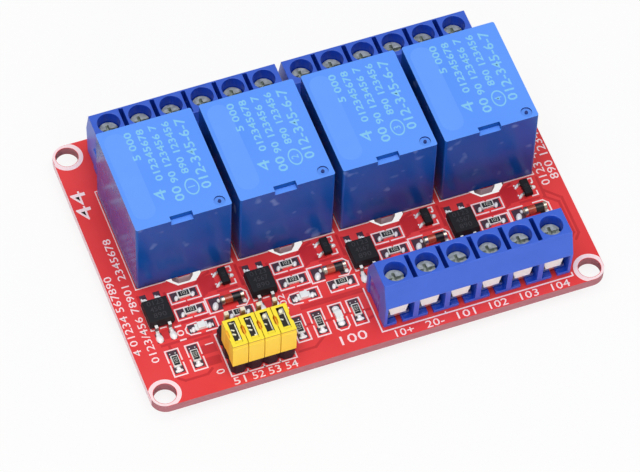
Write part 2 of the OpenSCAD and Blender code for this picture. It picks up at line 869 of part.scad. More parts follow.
module chip_resistors() {
    color("#1c1c1c") {
        for (p = resistor_at) in_front_of_relays() translate([p[0], p[1], 0])
            box(chip_l, chip_w, chip_h);
        for (p = series_at) translate([p[0], p[1] - board_w/2, top])
            box(chip_w, chip_l, chip_h);
    }
}

module lamp() {
    box(chip_l, chip_w, 0.4*lamp_h);
    box(0.6*chip_l, chip_w, lamp_h);
}

module channel_lamps() {
    color("whitesmoke") in_front_of_relays() translate([lamp_at[0], lamp_at[1], 0]) lamp();
}

module power_lamp() {
    color("whitesmoke") translate([power_at[0], power_at[1] - board_w/2, top])
        rotate([0, 0, 90]) lamp();
}

circuit_board();
solder_joints();
input_terminal_housing();
output_terminal_housing_left();
output_terminal_housing_right();
terminal_contacts();
for (i = [1:clamps]) terminal_clamp(i);
header_base();
header_pins();
for (i = [1:jumpers]) jumper_cap(i);
for (i = [1:jumpers]) jumper_clip(i);
for (i = [1:channels]) relay_cover(i);
for (i = [1:channels]) relay_armature(i);
relay_bases();
relay_bobbins();
relay_windings();
relay_cores();
relay_yokes();
relay_contacts();
relay_coil_pins();
optocouplers();
optocoupler_leads();
transistors();
transistor_leads();
diode_bodies();
diode_caps();
chip_resistors();
channel_lamps();
power_lamp();
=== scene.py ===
import math
import bmesh
import bpy
from mathutils import Matrix, Vector


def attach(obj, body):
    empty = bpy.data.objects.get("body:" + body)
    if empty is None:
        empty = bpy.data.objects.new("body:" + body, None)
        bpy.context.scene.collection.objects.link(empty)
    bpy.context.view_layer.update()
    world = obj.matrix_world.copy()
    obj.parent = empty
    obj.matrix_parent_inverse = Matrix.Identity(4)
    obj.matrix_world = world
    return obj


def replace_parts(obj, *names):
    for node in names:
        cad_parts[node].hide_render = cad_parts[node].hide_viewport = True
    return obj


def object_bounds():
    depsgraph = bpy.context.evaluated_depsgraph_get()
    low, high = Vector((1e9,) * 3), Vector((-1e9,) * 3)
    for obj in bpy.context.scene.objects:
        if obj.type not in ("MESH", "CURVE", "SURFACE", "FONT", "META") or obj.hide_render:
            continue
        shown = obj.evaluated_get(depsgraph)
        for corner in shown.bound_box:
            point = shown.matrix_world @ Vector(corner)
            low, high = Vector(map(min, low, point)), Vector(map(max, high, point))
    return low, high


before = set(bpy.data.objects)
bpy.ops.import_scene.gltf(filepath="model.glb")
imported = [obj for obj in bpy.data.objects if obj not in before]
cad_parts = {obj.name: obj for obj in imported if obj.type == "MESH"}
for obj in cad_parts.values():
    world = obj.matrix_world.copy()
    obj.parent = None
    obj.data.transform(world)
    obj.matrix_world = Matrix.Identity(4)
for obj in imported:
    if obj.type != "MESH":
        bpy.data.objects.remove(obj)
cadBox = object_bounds()
print("frame loaded:", len(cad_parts), "nodes")

mm = 0.001

# where things stand on the board, in millimetres, the same values as in the part's source
board = {"top": 1.6, "holeX": 34.0, "holeY": 22.75}
relay = {"x": [-24.325, -7.975, 8.375, 24.725], "front": -3.9, "width": 15.1, "top": 17.1}
terminal = {"inputX": 15.8, "inputY": -19.7, "outputX": 15.55, "outputY": 20.0}
header = {"x": [-22.21, -19.67, -17.13, -14.59], "capY": -20.47}


# the mesh helpers work in millimetres
def addBox(bm, centre, size, turn=0.0, bevel=0.0):
    place = (Matrix.Translation(centre) @ Matrix.Rotation(math.radians(turn), 4, "Z")
             @ Matrix.Diagonal((*size, 1.0)))
    made = bmesh.ops.create_cube(bm, size=1.0, matrix=place)
    if bevel > 0:
        edges = {edge for vert in made["verts"] for edge in vert.link_edges}
        bmesh.ops.bevel(bm, geom=list(edges), offset=bevel, offset_type="OFFSET",
                        segments=2, affect="EDGES", profile=0.5, material=-1)


def addLine(bm, start, end, width, z, height):
    along = Vector(end) - Vector(start)
    middle = (Vector(start) + Vector(end)) / 2
    addBox(bm, (middle.x, middle.y, z + height / 2), (along.length + width, width, height),
           turn=math.degrees(math.atan2(along.y, along.x)))


strokeStep = 0.002  # neighbouring strokes differ by this height, so no tops share a plane


def addPath(bm, points, width, z, height):
    for i, (start, end) in enumerate(zip(points, points[1:])):
        addLine(bm, start, end, width, z, height + strokeStep * (i % 2))


def addRing(bm, centre, inner, outer, height, segments=64):
    profile = [(inner, 0), (outer, 0), (outer, height), (inner, height)]
    verts = [bm.verts.new((centre[0] + r, centre[1], centre[2] + h)) for r, h in profile]
    edges = [bm.edges.new((verts[i], verts[(i + 1) % 4])) for i in range(4)]
    bmesh.ops.spin(bm, geom=verts + edges, cent=centre, axis=(0, 0, 1),
                   angle=2 * math.pi, steps=segments, use_merge=True)


def addPill(bm, x, y0, y1, radius, z, height):
    made = bmesh.ops.create_circle(bm, cap_ends=True, segments=48, radius=radius)["verts"]
    for vert in made:
        vert.co += Vector((x, y1 if vert.co.y > 0 else y0, z))
    face = made[0].link_faces[0]
    pulled = bmesh.ops.extrude_face_region(bm, geom=[face], use_keep_orig=True)
    bmesh.ops.translate(bm, vec=(0, 0, height),
                        verts=[g for g in pulled["geom"] if isinstance(g, bmesh.types.BMVert)])


digitShare = 0.7  # a digit's height over the font's size


# digits of a given height, stretched to a given span where one is set
def addText(bm, text, place, height, turn=0.0, thickness=0.014, span=None, weight=0.006):
    curve = bpy.data.curves.new("digits", "FONT")
    curve.body = text
    curve.size = height / digitShare
    curve.align_x = "CENTER"
    curve.align_y = "CENTER"
    curve.extrude = thickness / 2
    curve.offset = weight
    curve.resolution_u = 2
    textObject = bpy.data.objects.new("digits", curve)
    bpy.context.collection.objects.link(textObject)
    bpy.context.view_layer.update()
    mesh = bpy.data.meshes.new_from_object(textObject)
    wide = max(v.co.x for v in mesh.vertices) - min(v.co.x for v in mesh.vertices)
    stretch = span / wide if span else 1.0
    mesh.transform(Matrix.Translation((place[0], place[1], place[2] + thickness / 2))
                   @ Matrix.Rotation(math.radians(turn), 4, "Z")
                   @ Matrix.Diagonal((stretch, 1.0, 1.0, 1.0)))
    bm.from_mesh(mesh)
    bpy.data.objects.remove(textObject)
    bpy.data.curves.remove(curve)
    bpy.data.meshes.remove(mesh)


def newPiece(name, bm, material, body="board", smooth=False):
    bmesh.ops.recalc_face_normals(bm, faces=bm.faces)
    bmesh.ops.scale(bm, vec=(mm, mm, mm), verts=bm.verts)
    mesh = bpy.data.meshes.new(name)
    bm.to_mesh(mesh)
    bm.free()
    mesh.materials.append(material)
    if smooth:
        mesh.shade_smooth()
    piece = bpy.data.objects.new(name, mesh)
    bpy.context.collection.objects.link(piece)
    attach(piece, body)
    return piece


rounding = {"merge": 0.002, "flat": 1, "corners": 8, "sharp": 30, "segments": 2}


# a merged copy of a CAD node, with its edges rounded, that stands for the node
def roundedCopy(node, width, material, body="board", edge=None):
    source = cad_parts[node]
    bm = bmesh.new()
    bm.from_mesh(source.data)
    bmesh.ops.remove_doubles(bm, verts=bm.verts, dist=rounding["merge"] * mm)
    bmesh.ops.dissolve_limit(bm, angle_limit=math.radians(rounding["flat"]), verts=bm.verts,
                             edges=bm.edges)
    manySided = [face for face in bm.faces if len(face.verts) > rounding["corners"]]
    bmesh.ops.triangulate(bm, faces=manySided)
    mesh = bpy.data.meshes.new(node + "_soft")
    bm.to_mesh(mesh)
    bm.free()
    mesh.materials.append(material)
    piece = bpy.data.objects.new(node + "_soft", mesh)
    bpy.context.collection.objects.link(piece)
    bevel = piece.modifiers.new("edges", "BEVEL")
    bevel.width = width * mm
    bevel.segments = rounding["segments"]
    bevel.limit_method = "ANGLE"
    bevel.angle_limit = math.radians(rounding["sharp"])
    bevel.harden_normals = True
    # where given, the rounded edge faces take this second material; the covers use it for a painted
    # edge highlight
    if edge:
        mesh.materials.append(edge)
        bevel.material = 1
    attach(piece, body)
    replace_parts(piece, node)
    return piece


# a screen colour, 0 to 255, as the linear one that a shader takes
def rgb(red, green, blue):
    def linear(value):
        value /= 255
        return value / 12.92 if value <= 0.04045 else ((value + 0.055) / 1.055) ** 2.4
    return (linear(red), linear(green), linear(blue), 1.0)


def newMaterial(name):
    material = bpy.data.materials.new(name)
    material.use_nodes = True
    tree = material.node_tree
    return material, tree, tree.nodes["Principled BSDF"]


# a socket takes a link or a plain value
def setSocket(tree, socket, value):
    if isinstance(value, bpy.types.NodeSocket):
        tree.links.new(value, socket)
    else:
        socket.default_value = value


def addNode(tree, kind, settings=None, **inputs):
    node = tree.nodes.new(kind)
    for key, value in (settings or {}).items():
        setattr(node, key, value)
    for key, value in inputs.items():
        setSocket(tree, node.inputs[key], value)
    return node


def addMath(tree, operation, *values):
    node = addNode(tree, "ShaderNodeMath", {"operation": operation})
    for socket, value in zip(node.inputs, values):
        setSocket(tree, socket, value)
    return node.outputs[0]


# a mix node numbers its sockets by the kind of data that it mixes
def addMix(tree, kind, share, low, high):
    node = addNode(tree, "ShaderNodeMix", {"data_type": kind})
    first, result = (2, 0) if kind == "FLOAT" else (6, 2)
    setSocket(tree, node.inputs[0], share)
    setSocket(tree, node.inputs[first], low)
    setSocket(tree, node.inputs[first + 1], high)
    return node.outputs[result]


def newGroup(name, inputs, outputs):
    tree = bpy.data.node_groups.new(name, "ShaderNodeTree")
    for socketName, socketType, value in inputs:
        socket = tree.interface.new_socket(socketName, in_out="INPUT", socket_type=socketType)
        if value is not None:
            socket.default_value = value
    for socketName, socketType in outputs:
        tree.interface.new_socket(socketName, in_out="OUTPUT", socket_type=socketType)
    return tree, tree.nodes.new("NodeGroupInput"), tree.nodes.new("NodeGroupOutput")


def useSkin(tree, toneA, toneB, scale, grain, gloss):
    return addNode(tree, "ShaderNodeGroup", {"node_tree": mouldedSkin},
                   **{"Tone A": rgb(*toneA), "Tone B": rgb(*toneB), "Scale": scale,
                      "Grain": grain, "Gloss Low": gloss[0], "Gloss High": gloss[1]})


skinDepth = 0.02 * mm  # how deep the finest grain goes


def dressShader(tree, shader, colour, roughness, height, bump):
    raised = addNode(tree, "ShaderNodeBump", Strength=bump, Distance=skinDepth, Height=height)
    tree.links.new(colour, shader.inputs["Base Color"])
    tree.links.new(roughness, shader.inputs["Roughness"])
    tree.links.new(raised.outputs["Normal"], shader.inputs["Normal"])


# moulded plastic: two tones mixed by a slow noise, a fine skin, and an uneven gloss
def makeMouldedSkin():
    tree, start, end = newGroup(
        "mouldedSkin",
        [("Tone A", "NodeSocketColor", (1, 1, 1, 1)), ("Tone B", "NodeSocketColor", (1, 1, 1, 1)),
         ("Scale", "NodeSocketFloat", 400.0), ("Grain", "NodeSocketFloat", 6000.0),
         ("Gloss Low", "NodeSocketFloat", 0.3), ("Gloss High", "NodeSocketFloat", 0.4)],
        [("Color", "NodeSocketColor"), ("Roughness", "NodeSocketFloat"),
         ("Height", "NodeSocketFloat")])
    coords = addNode(tree, "ShaderNodeTexCoord")
    slow = addNode(tree, "ShaderNodeTexNoise", Vector=coords.outputs["Object"],
                   Scale=start.outputs["Scale"], Detail=3.0)
    fine = addNode(tree, "ShaderNodeTexNoise", Vector=coords.outputs["Object"],
                   Scale=start.outputs["Grain"], Detail=2.0)
    tones = addMix(tree, "RGBA", slow.outputs["Fac"], start.outputs["Tone A"],
                   start.outputs["Tone B"])
    gloss = addMix(tree, "FLOAT", slow.outputs["Fac"], start.outputs["Gloss Low"],
                   start.outputs["Gloss High"])
    tree.links.new(tones, end.inputs["Color"])
    tree.links.new(gloss, end.inputs["Roughness"])
    tree.links.new(fine.outputs["Fac"], end.inputs["Height"])
    return tree


mouldedSkin = makeMouldedSkin()


def plastic(name, toneA, toneB, gloss=(0.3, 0.4), scale=400.0, grain=6000.0, bump=0.1,
            coat=0.0, specular=0.5):
    material, tree, shader = newMaterial(name)
    skin = useSkin(tree, toneA, toneB, scale, grain, gloss)
    dressShader(tree, shader, skin.outputs["Color"], skin.outputs["Roughness"],
                skin.outputs["Height"], bump)
    shader.inputs["Coat Weight"].default_value = coat
    shader.inputs["Coat Roughness"].default_value = 0.08
    shader.inputs["Specular IOR Level"].default_value = specular
    return material


def metal(name, toneA, toneB, gloss=(0.2, 0.35), scale=900.0, grain=4000.0, bump=0.25):
    material = plastic(name, toneA, toneB, gloss, scale, grain, bump)
    material.node_tree.nodes["Principled BSDF"].inputs["Metallic"].default_value = 1.0
    return material


# solder mask on the two faces, bare laminate on the cut edges, and a paler tone, painted light,
# on the cut edges in the routed slots and along the left end
boardSkin = {"mask": ((228, 48, 50), (238, 72, 74)), "maskGloss": (0.3, 0.4),
             "maskScale": 120.0, "maskGrain": 2500.0, "bump": 0.12, "specular": 0.36,
             "under": 0.005, "over": 1.595, "slotY": 5.2, "slotReach": 2.6, "slotEnd": 34.0,
             "paintedLightLeftEnd": -36.2, "laminate": ((158, 88, 96), (196, 128, 136)), "layerScale": 900.0,
             "paintedLightCut": (255, 222, 228), "cutGloss": 0.6}


def makeBoardMaterial():
    material, tree, shader = newMaterial("redSolderMask")
    skin = useSkin(tree, *boardSkin["mask"], boardSkin["maskScale"], boardSkin["maskGrain"],
                   boardSkin["maskGloss"])
    coords = addNode(tree, "ShaderNodeTexCoord")
    split = addNode(tree, "ShaderNodeSeparateXYZ", Vector=coords.outputs["Object"])
    x, y, z = (split.outputs[axis] for axis in "XYZ")
    face = addMath(tree, "MAXIMUM", addMath(tree, "GREATER_THAN", z, boardSkin["over"] * mm),
                   addMath(tree, "LESS_THAN", z, boardSkin["under"] * mm))
    layered = addNode(tree, "ShaderNodeMapping", Vector=coords.outputs["Object"],
                      Scale=(1.0, 1.0, 9.0))
    layers = addNode(tree, "ShaderNodeTexNoise", Vector=layered.outputs["Vector"],
                     Scale=boardSkin["layerScale"], Detail=4.0)
    dark, light = boardSkin["laminate"]
    laminate = addMix(tree, "RGBA", layers.outputs["Fac"], rgb(*dark), rgb(*light))
    # the cut edges of the routed slots and of the left end take a paler tone: painted light
    fromSlots = addMath(tree, "ABSOLUTE", addMath(tree, "ADD", y, boardSkin["slotY"] * mm))
    slotZone = addMath(tree, "MULTIPLY",
                       addMath(tree, "LESS_THAN", fromSlots, boardSkin["slotReach"] * mm),
                       addMath(tree, "LESS_THAN", x, boardSkin["slotEnd"] * mm))
    pale = addMath(tree, "MAXIMUM", slotZone, addMath(tree, "LESS_THAN", x, boardSkin["paintedLightLeftEnd"] * mm))
    cut = addMix(tree, "RGBA", pale, laminate, rgb(*boardSkin["paintedLightCut"]))
    dressShader(tree, shader, addMix(tree, "RGBA", face, cut, skin.outputs["Color"]),
                addMix(tree, "FLOAT", face, boardSkin["cutGloss"], skin.outputs["Roughness"]),
                skin.outputs["Height"], boardSkin["bump"])
    shader.inputs["Specular IOR Level"].default_value = boardSkin["specular"]
    return material


# deep blue cover: polished sides with faint pale spots that are painted glints, and a paler satin
# panel on every face that looks up, its paler colour painted light
coverSkin = {"side": ((8, 70, 152), (16, 86, 174)), "sideGloss": (0.16, 0.3),
             "sideScale": 130.0, "sideGrain": 3000.0, "bump": 0.12, "specular": 0.34,
             "paintedGlint": (150, 176, 226), "paintedGlintScale": 420.0, "paintedGlintFrom": 0.66,
             "paintedGlintTo": 0.8, "paintedGlintShare": 0.5,
             "panel": ((84, 146, 250), (98, 158, 255)), "panelScale": 60.0,
             "panelGrain": 9000.0, "panelFrom": 0.55, "panelTo": 0.9, "panelGloss": 0.5}


def makeCoverMaterial():
    material, tree, shader = newMaterial("blueCover")
    skin = useSkin(tree, *coverSkin["side"], coverSkin["sideScale"], coverSkin["sideGrain"],
                   coverSkin["sideGloss"])
    coords = addNode(tree, "ShaderNodeTexCoord")
    split = addNode(tree, "ShaderNodeSeparateXYZ", Vector=coords.outputs["Normal"])
    # faces that look up take the paler panel colour, painted light, with a satin gloss and grain
    paintedLightShare = addNode(tree, "ShaderNodeMapRange", {"clamp": True},
                    **{"Value": split.outputs["Z"], "From Min": coverSkin["panelFrom"],
                       "From Max": coverSkin["panelTo"]}).outputs["Result"]
    satin = addNode(tree, "ShaderNodeTexNoise", Vector=coords.outputs["Object"],
                    Scale=coverSkin["panelGrain"], Detail=2.0)
    cloud = addNode(tree, "ShaderNodeTexNoise", Vector=coords.outputs["Object"],
                    Scale=coverSkin["panelScale"], Detail=1.0)
    # pale spots on the sides are painted glints
    spots = addNode(tree, "ShaderNodeTexNoise", Vector=coords.outputs["Object"],
                    Scale=coverSkin["paintedGlintScale"], Detail=1.0)
    paintedGlint = addNode(tree, "ShaderNodeMapRange", {"clamp": True},
                     **{"Value": spots.outputs["Fac"], "From Min": coverSkin["paintedGlintFrom"],
                        "From Max": coverSkin["paintedGlintTo"], "To Max": coverSkin["paintedGlintShare"]})
    dark, light = coverSkin["panel"]
    panel = addMix(tree, "RGBA", cloud.outputs["Fac"], rgb(*dark), rgb(*light))
    side = addMix(tree, "RGBA", paintedGlint.outputs["Result"], skin.outputs["Color"],
                  rgb(*coverSkin["paintedGlint"]))
    dressShader(tree, shader, addMix(tree, "RGBA", paintedLightShare, side, panel),
                addMix(tree, "FLOAT", paintedLightShare, skin.outputs["Roughness"], coverSkin["panelGloss"]),
                addMath(tree, "MULTIPLY", satin.outputs["Fac"], paintedLightShare), coverSkin["bump"])
    shader.inputs["Specular IOR Level"].default_value = coverSkin["specular"]
    return material


# a plastic or metal whose tone changes with height: stops are (height in mm, colour)
def makeBandedMaterial(name, stops, roughness, metallic=0.0):
    material, tree, shader = newMaterial(name)
    coords = addNode(tree, "ShaderNodeTexCoord")
    split = addNode(tree, "ShaderNodeSeparateXYZ", Vector=coords.outputs["Object"])
    low, high = stops[0][0], stops[-1][0]
    share = addNode(tree, "ShaderNodeMapRange", {"clamp": True},
                    **{"Value": split.outputs["Z"], "From Min": low * mm, "From Max": high * mm})
    ramp = addNode(tree, "ShaderNodeValToRGB", Fac=share.outputs["Result"])
    elements = ramp.color_ramp.elements
    while len(elements) < len(stops):
        elements.new(0.5)  # its place is set below
    for element, (height, colour) in zip(elements, stops):
        element.position = (height - low) / (high - low)
        element.color = rgb(*colour)
    skin = useSkin(tree, (0, 0, 0), (255, 255, 255), 500.0, 6000.0, roughness)
    dressShader(tree, shader, ramp.outputs["Color"], skin.outputs["Roughness"],
                skin.outputs["Height"], 0.1)
    shader.inputs["Metallic"].default_value = metallic
    return material


boardRed = makeBoardMaterial()
coverBlue = makeCoverMaterial()
traceAndShadeRed = plastic("redLaminateAndShade", (196, 32, 38), (212, 46, 52), (0.25, 0.35), 200.0, 2500.0,
                   0.1)
silkWhite = plastic("whiteInk", (252, 218, 222), (255, 234, 236), (0.5, 0.65), 1500.0, 9000.0, 0.2)
coverPrint = plastic("paleBlueInk", (118, 190, 238), (138, 206, 244), (0.5, 0.6), 1500.0, 9000.0)
# a paler blue for a rounded patch on each cover's top: painted glare
coverPaintedGlare = plastic("paleBluePaintedGlare", (94, 154, 254), (100, 160, 255), (0.46, 0.54), 300.0, 9000.0)
# a paler blue on the covers' rounded edges: painted highlight
coverEdgeHighlight = plastic("coverEdgeHighlight", (108, 138, 224), (132, 160, 236), (0.2, 0.3), 900.0, 5000.0)
ventShade = plastic("ventShade", (12, 40, 112), (20, 52, 130), (0.4, 0.5), 900.0, 5000.0)
terminalBlue = plastic("terminalBlue", (50, 92, 204), (58, 102, 216), (0.3, 0.4), 250.0, 5000.0,
                       0.1)
# a darker blue for the faces inside the housings' recesses: painted shade
terminalPaintedShade = plastic("terminalBluePaintedShade", (20, 62, 180), (34, 80, 204), (0.14, 0.24), 250.0,
                       5000.0, 0.1)
screwNickel = metal("nickelScrew", (104, 114, 114), (226, 232, 224), (0.34, 0.5), 1500.0, 1500.0,
                    0.1)
guardTin = metal("tinnedGuard", (206, 204, 196), (234, 232, 224), (0.28, 0.4), 1200.0, 6000.0,
                 0.05)
tongueTin = plastic("whiteTin", (255, 253, 244), (255, 255, 252), (0.3, 0.4), 900.0, 5000.0,
                    0.05, specular=0.9)
pinTin = metal("tinnedPin", (186, 180, 162), (222, 216, 200), (0.22, 0.38), bump=0.05)
clipCream = plastic("creamContact", (250, 244, 206), (255, 252, 226), (0.4, 0.5), 900.0, 5000.0)
# dark brown for the walls of the jumper slots: painted shade
slotWallShade = plastic("slotShade", (40, 26, 12), (58, 38, 18), (0.5, 0.6), 900.0, 5000.0)
# bright tin solder as a white plastic, not a metal: its whiteness is partly a painted highlight
solderWhiteHighlight = plastic("solder", (236, 234, 236), (255, 255, 255), (0.14, 0.26), 1400.0, 1800.0, 0.06,
                    coat=0.6)
# tinned pads in a dark purple-grey plastic: the tin's colour with a painted reflection of dark
# surroundings
padDarkReflection = plastic("tinnedPadPaintedReflection", (46, 26, 38), (92, 68, 80), (0.26, 0.4), 1300.0, 3000.0, 0.15,
                 coat=0.2, specular=0.4)
leadShade = plastic("leadShade", (96, 84, 84), (120, 108, 104), (0.4, 0.5), 900.0, 5000.0)
moldBlack = plastic("blackResin", (18, 18, 22), (28, 28, 32), (0.55, 0.7), 900.0, 9000.0, 0.4,
                    specular=0.3)
moldMark = plastic("greyMark", (34, 33, 38), (46, 44, 50), (0.5, 0.64), 900.0, 9000.0)
headerBlack = plastic("blackNylon", (30, 8, 20), (42, 14, 30), (0.45, 0.6), 600.0, 7000.0, 0.2,
                      specular=0.3)
# the cap's yellow, with a paler lemon top that is painted light and a darker band just below the
# top edge that is painted shade
capYellowPaintedBands = makeBandedMaterial(
    "yellowCapPaintedBands", [(3.8, (255, 208, 62)), (8.7, (255, 214, 62)), (8.76, (190, 140, 16)),
                  (8.88, (190, 140, 16)), (8.95, (255, 228, 44)), (9.1, (255, 232, 50))],
    (0.42, 0.55))
# a brighter orange for the caps' side notches: painted light
waistPaintedLight = plastic("yellowWaistPaintedLight", (250, 188, 40), (252, 198, 56), (0.5, 0.6), 900.0, 5000.0)
slotShadeSheet = plastic("slotPaintedShade", (16, 10, 6), (26, 16, 8), (0.5, 0.6), 900.0, 5000.0)
pinBrass = makeBandedMaterial("tinnedBrassPin", [(2.0, (140, 94, 56)), (8.0, (176, 128, 84)),
                                                 (8.3, (252, 238, 204)), (8.7, (255, 246, 220))],
                              (0.3, 0.42), metallic=0.35)
chipBlack = plastic("blackGlaze", (18, 18, 20), (30, 30, 34), (0.3, 0.42), 1500.0, 9000.0, 0.2)
chipMark = plastic("chipMark", (176, 176, 166), (200, 200, 190), (0.5, 0.6))
ceramicWhite = plastic("ceramic", (226, 222, 218), (244, 242, 238), (0.5, 0.6), 1500.0, 9000.0)
diodeAmber = plastic("amberGlass", (170, 46, 30), (204, 92, 58), (0.06, 0.12), 900.0, 5000.0,
                     coat=0.6)
lampWhite = plastic("lampResin", (228, 232, 230), (252, 254, 252), (0.15, 0.3), 1500.0, 3000.0,
                    0.3, coat=0.5)
copperWire = metal("enamelledWire", (176, 84, 40), (206, 110, 60), (0.3, 0.45), 3000.0, 9000.0)
ironGrey = metal("softIron", (150, 150, 148), (182, 182, 180), (0.35, 0.5))
bobbinIvory = plastic("bobbinResin", (226, 220, 196), (238, 232, 212), (0.4, 0.5))
contactBronze = metal("contactBronze", (188, 132, 84), (214, 160, 110), (0.25, 0.4))
baseBlue = plastic("baseBlue", (26, 44, 110), (34, 56, 130), (0.35, 0.5))
print("materials made")

nodeFinish = {
    "circuit_board": boardRed, "solder_joints": solderWhiteHighlight, "terminal_contacts": guardTin,
    "header_base": headerBlack, "header_pins": pinBrass, "relay_bases": baseBlue,
    "relay_bobbins": bobbinIvory, "relay_windings": copperWire, "relay_cores": ironGrey,
    "relay_yokes": ironGrey, "relay_contacts": contactBronze, "relay_coil_pins": pinTin,
    "optocouplers": moldBlack, "optocoupler_leads": pinTin, "transistors": moldBlack,
    "transistor_leads": pinTin, "diode_bodies": diodeAmber, "diode_caps": pinTin,
    "chip_resistors": chipBlack, "channel_lamps": lampWhite, "power_lamp": lampWhite,
    "input_terminal_housing": terminalBlue, "output_terminal_housing_left": terminalBlue,
    "output_terminal_housing_right": terminalBlue}
for name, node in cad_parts.items():
    if name.startswith("terminal_clamp"):
        finish = screwNickel
    elif name.startswith("jumper_cap"):
        finish = capYellowPaintedBands
    elif name.startswith("jumper_clip"):
        finish = guardTin
    elif name.startswith("relay_cover"):
        finish = coverBlue
    elif name.startswith("relay_armature"):
        finish = ironGrey
    else:
        finish = nodeFinish[name]
    node.data.materials.clear()
    node.data.materials.append(finish)


silk = {"width": 0.22, "fine": 0.14, "height": 0.015, "fineDrop": 0.006, "letter": 1.25,
        "ringInner": 1.82, "ringOuter": 2.5, "ringEdge": 2.2,
        # round each relay, from its middle: the left and right lines, the back line, and how far
        # the front line runs in from each side
        "left": 7.72, "right": 7.7, "back": 15.2, "fromLeft": 4.7, "fromRight": 4.9,
        "frontInset": 0.03,
        # brackets round the resistors: half the length, half the width, half the gap
        "pairX": -1.13, "pairY": (-7.15, -10.25), "pair": (2.33, 1.03, 0.25),
        "singleX": 5.75, "singleY": -13.1, "single": (2.2, 1.0, 0.25),
        "uprights": ((-30.6, -18.15), (-27.45, -18.15), (-11.1, -18.55), (-8.02, -18.55),
                     (-1.95, -18.55)), "upright": (2.35, 1.02, 0.3),
        # lamp, diode, transistor and optocoupler of a channel, x from the relay's middle
        "channel": [[(-0.1, -12.3), (1.9, -12.3), (1.9, -14.35), (-0.1, -14.35)],
                    [(-1.1, -12.3), (-2.5, -12.4), (-3.0, -13.0), (-3.0, -13.7), (-2.5, -14.25),
                     (-1.1, -14.35)],
                    [(3.8, -8.8), (1.45, -8.8), (1.45, -11.65), (3.4, -11.65)],
                    [(5.6, -8.8), (7.2, -8.8), (7.85, -9.5), (7.85, -10.95), (7.1, -11.8),
                     (5.7, -11.7)],
                    [(6.3, -4.4), (7.0, -4.4), (7.0, -5.1)],
                    [(7.0, -6.9), (7.0, -7.6), (6.1, -7.6)],
                    [(-7.92, -7.2), (-7.92, -11.64), (-7.5, -11.64)],
                    [(-6.45, -11.62), (-5.6, -11.62)]],
        # power lamp, header with its pole marks, and input terminals
        "front": [[(-5.85, -18.1), (-5.85, -16.15), (-3.81, -16.15), (-3.81, -18.1)],
                  [(-5.85, -18.9), (-5.85, -20.4), (-5.38, -20.95), (-4.28, -20.95),
                   (-3.81, -20.4), (-3.81, -18.9)],
                  [(-23.1, -15.35), (-23.58, -15.35), (-23.58, -23.2), (-13.28, -23.2),
                   (-13.28, -15.35), (-13.7, -15.35)],
                  [(-20.95, -23.2), (-20.95, -22.75)], [(-18.4, -23.2), (-18.4, -22.75)],
                  [(-15.85, -23.2), (-15.85, -22.75)],
                  [(0.32, -15.0), (0.32, -23.25), (31.1, -23.25), (31.1, -22.7)],
                  [(10.5, -23.25), (10.5, -23.0)]],
        "jumperLabels": (-22.5, -19.75, -17.15, -14.5), "jumperLabelY": -24.22,
        "jumperSpan": 1.9, "poleLabels": ("10+", "20-", "101", "102", "103", "104"),
        "poleLabelX": 3.35, "poleLabelStep": 5.03, "poleLabelY": -24.28, "poleSpan": 2.9,
        # x, y, letter height and span of the channels' numbers, x from the relay's middle
        "channelLabel": (-3.85, -13.4, 1.05, 2.8),
        # text, x, y, letter height, turn and span
        "labels": [("1", -24.8, -16.6, 1.3, 90, None), ("0", -24.8, -21.8, 1.3, 90, None),
                   ("100", -4.35, -22.8, 1.6, 0, 4.2)],
        # x, first and last y, text and letter height of the columns up the board's two ends
        "columns": [(-35.4, -15.2, -0.2, "4 01234 567890", 1.2),
                    (-33.3, -17.2, 6.3, "0123/456 78901 2345678", 1.2),
                    (-34.6, 10.7, 16.2, "44", 2.3), (33.7, -6.4, 3.4, "0123 4567", 1.35),
                    (35.4, -5.7, 4.6, "890 12345", 1.35)]}


def addSilk(bm, points):
    addPath(bm, points, silk["width"], board["top"], silk["height"])


# two brackets that face each other along x, or along y where they are upright
def addBrackets(bm, cx, cy, sizes, upright=False):
    halfLong, halfWide, gap = sizes
    for s in (-1, 1):
        points = [(s * gap, halfWide), (s * halfLong, halfWide), (s * halfLong, -halfWide),
                  (s * gap, -halfWide)]
        addSilk(bm, [(cx + v, cy + u) if upright else (cx + u, cy + v) for u, v in points])


# a ring round a screw hole, cut off where it would pass the board's edge
def addHoleRing(bm, sx, sy):
    centre = Vector((sx * board["holeX"], sy * board["holeY"], board["top"]))
    edge = silk["ringEdge"]
    known = set(bm.verts)
    addRing(bm, centre, silk["ringInner"], silk["ringOuter"], silk["height"])
    for vert in bm.verts:
        if vert in known:
            continue
        away = vert.co - centre
        reach = math.hypot(away.x, away.y)
        if away.x * sx > 0 and away.y * sy > 0 and reach > edge:
            away.x *= edge / reach
            away.y *= edge / reach
        away.x = sx * min(away.x * sx, edge)
        away.y = sy * min(away.y * sy, edge)
        vert.co = centre + away


def addLabels(bm):
    top = board["top"]
    dx, y, letter, span = silk["channelLabel"]
    for number, x in enumerate(relay["x"], 1):
        addText(bm, "10%d" % number, (x + dx, y, top), letter, turn=90, span=span)
    for i, x in enumerate(silk["jumperLabels"], 1):
        addText(bm, "5%d" % i, (x, silk["jumperLabelY"], top), silk["letter"],
                span=silk["jumperSpan"])
    for i, label in enumerate(silk["poleLabels"]):
        x = silk["poleLabelX"] + silk["poleLabelStep"] * i
        addText(bm, label, (x, silk["poleLabelY"], top), silk["letter"], span=silk["poleSpan"])
    for text, x, y, height, turn, span in silk["labels"]:
        addText(bm, text, (x, y, top), height, turn=turn, span=span)
    for x, y0, y1, text, height in silk["columns"]:
        addText(bm, text, (x, (y0 + y1) / 2, top), height, turn=90, span=y1 - y0)


